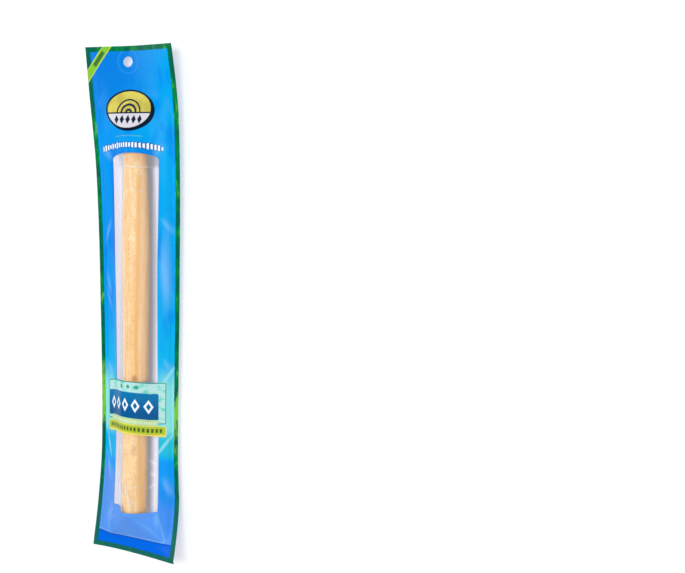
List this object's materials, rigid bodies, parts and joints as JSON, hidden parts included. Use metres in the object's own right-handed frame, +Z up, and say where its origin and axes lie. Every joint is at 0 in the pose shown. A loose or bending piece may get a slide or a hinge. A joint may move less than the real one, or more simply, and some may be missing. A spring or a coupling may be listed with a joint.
{
  "type": "miswak stick in sealed pouch",
  "caption": "Straight peeled root stick for chewing, sealed in a clear sleeve inside a flat printed film pouch with a long window and a hang hole in its header.",
  "frame": {"origin": "on the flat strip of the back film that rests on the table, under the stick, at half the pouch's length", "axes": "+X to the right across the pouch, +Y along the stick towards the header with the hang hole, +Z up out of the window"},
  "size_m": [0.0455, 0.2162, 0.0141],
  "materials": {
    "wood": "matte, peeled root wood with fine lengthwise fibres",
    "printed_film": "glossy printed film, blue outside and whitish inside",
    "clear_film": "clear glossy film",
    "sleeve_film": "clear soft film with fine wrinkles"
  },
  "bodies": {
    "root": {"miswak_stick": "wood", "sleeve_front": "sleeve_film", "sleeve_back": "sleeve_film", "window_film": "clear_film", "pouch_front": "printed_film", "pouch_back": "printed_film"}
  },
  "joints": []
}
